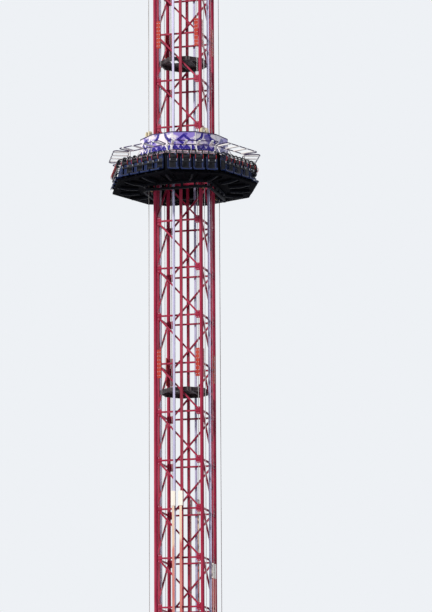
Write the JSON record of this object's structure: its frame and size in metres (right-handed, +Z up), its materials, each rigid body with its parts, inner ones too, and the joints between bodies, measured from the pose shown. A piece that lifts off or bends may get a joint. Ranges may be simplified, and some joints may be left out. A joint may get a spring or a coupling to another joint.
{
  "type": "drop tower ride, 1:2 scale model",
  "caption": "Drop tower ride: a ring of outward-facing seats round a red lattice tower, as a 1:2 scale model",
  "frame": {"origin": "centre of the tower at ground level, on the underside of the hub plate", "axes": "+Z up along the tower, +Y from the front face to the back face, +X to the right"},
  "size_m": [4.2588, 4.2588, 34.155],
  "materials": {
    "tower_red": "satin",
    "splice_orange": "satin",
    "base_steel": "matte",
    "bracket_steel": "satin",
    "deck_dark": "matte",
    "rail_zinc": "satin",
    "fin_metal": "satin",
    "cap_white": "satin",
    "rope_wire": "satin",
    "sheave_yellow": "satin",
    "rail_yellow": "satin",
    "drum_print": "gloss",
    "skirt_mauve": "satin",
    "pan_black": "matte",
    "canopy_purple": "satin",
    "post_white": "gloss",
    "catch_cream": "satin",
    "seat_blue": "gloss",
    "pad_black": "matte",
    "shaft_steel": "satin",
    "wheel_grey": "matte"
  },
  "bodies": {
    "tower": {"base_frame": "tower_red", "base_plates": "base_steel", "anchor_ribs": "tower_red", "column_front_left": "tower_red", "column_front_right": "tower_red", "column_back_right": "tower_red", "column_back_left": "tower_red", "lattice_front": "tower_red", "lattice_right": "tower_red", "lattice_back": "tower_red", "lattice_left": "tower_red", "splice_plates": "splice_orange", "platforms": "deck_dark", "guide_posts": "tower_red", "guide_rails": "rail_zinc", "post_brackets": "bracket_steel", "brake_fins": "fin_metal", "fin_caps": "cap_white", "hoist_ropes": "rope_wire", "rope_anchors": "bracket_steel", "head_beams": "tower_red", "head_deck": "deck_dark", "head_sheaves": "sheave_yellow", "sheave_brackets": "tower_red", "head_railing": "rail_yellow"},
    "ring_car": {"guide_frame": "bracket_steel", "guide_wheels": "wheel_grey", "wheel_brackets": "bracket_steel", "radial_beams": "bracket_steel", "bottom_pan": "pan_black", "row_walls": "skirt_mauve", "skirt_panels": "skirt_mauve", "drum_deck": "pan_black", "drum_panels": "drum_print", "drum_posts": "post_white", "drum_top": "canopy_purple", "catch_blocks": "catch_cream", "canopy_posts": "post_white", "corner_posts": "post_white", "canopy_frames": "canopy_purple", "canopy_bars": "post_white", "seat_backs": "seat_blue", "seat_pans": "seat_blue", "restraint_shafts": "shaft_steel", "shaft_brackets": "bracket_steel"},
    "restraint_1": {"restraints_1": "pad_black"},
    "restraint_2": {"restraints_2": "pad_black"},
    "restraint_3": {"restraints_3": "pad_black"},
    "restraint_4": {"restraints_4": "pad_black"},
    "restraint_5": {"restraints_5": "pad_black"},
    "restraint_6": {"restraints_6": "pad_black"},
    "restraint_7": {"restraints_7": "pad_black"},
    "restraint_8": {"restraints_8": "pad_black"}
  },
  "joints": [
    {"name": "car_travel", "type": "slide", "parent": "tower", "child": "ring_car", "axis": [0, 0, 1], "range_m": [-21.9, 9]},
    {"name": "restraint_1_swing", "type": "hinge", "parent": "ring_car", "child": "restraint_1", "pos_m": [1.60663, 0.66549, 23.028], "axis": [0.3827, -0.9239, 0], "range_deg": [0, 80]},
    {"name": "restraint_2_swing", "type": "hinge", "parent": "ring_car", "child": "restraint_2", "pos_m": [0.66549, 1.60663, 23.028], "axis": [0.9239, -0.3827, 0], "range_deg": [0, 80]},
    {"name": "restraint_3_swing", "type": "hinge", "parent": "ring_car", "child": "restraint_3", "pos_m": [-0.66549, 1.60663, 23.028], "axis": [0.9239, 0.3827, 0], "range_deg": [0, 80]},
    {"name": "restraint_4_swing", "type": "hinge", "parent": "ring_car", "child": "restraint_4", "pos_m": [-1.60663, 0.66549, 23.028], "axis": [0.3827, 0.9239, 0], "range_deg": [0, 80]},
    {"name": "restraint_5_swing", "type": "hinge", "parent": "ring_car", "child": "restraint_5", "pos_m": [-1.60663, -0.66549, 23.028], "axis": [-0.3827, 0.9239, 0], "range_deg": [0, 80]},
    {"name": "restraint_6_swing", "type": "hinge", "parent": "ring_car", "child": "restraint_6", "pos_m": [-0.66549, -1.60663, 23.028], "axis": [-0.9239, 0.3827, 0], "range_deg": [0, 80]},
    {"name": "restraint_7_swing", "type": "hinge", "parent": "ring_car", "child": "restraint_7", "pos_m": [0.66549, -1.60663, 23.028], "axis": [-0.9239, -0.3827, 0], "range_deg": [0, 80]},
    {"name": "restraint_8_swing", "type": "hinge", "parent": "ring_car", "child": "restraint_8", "pos_m": [1.60663, -0.66549, 23.028], "axis": [-0.3827, -0.9239, 0], "range_deg": [0, 80]}
  ]
}
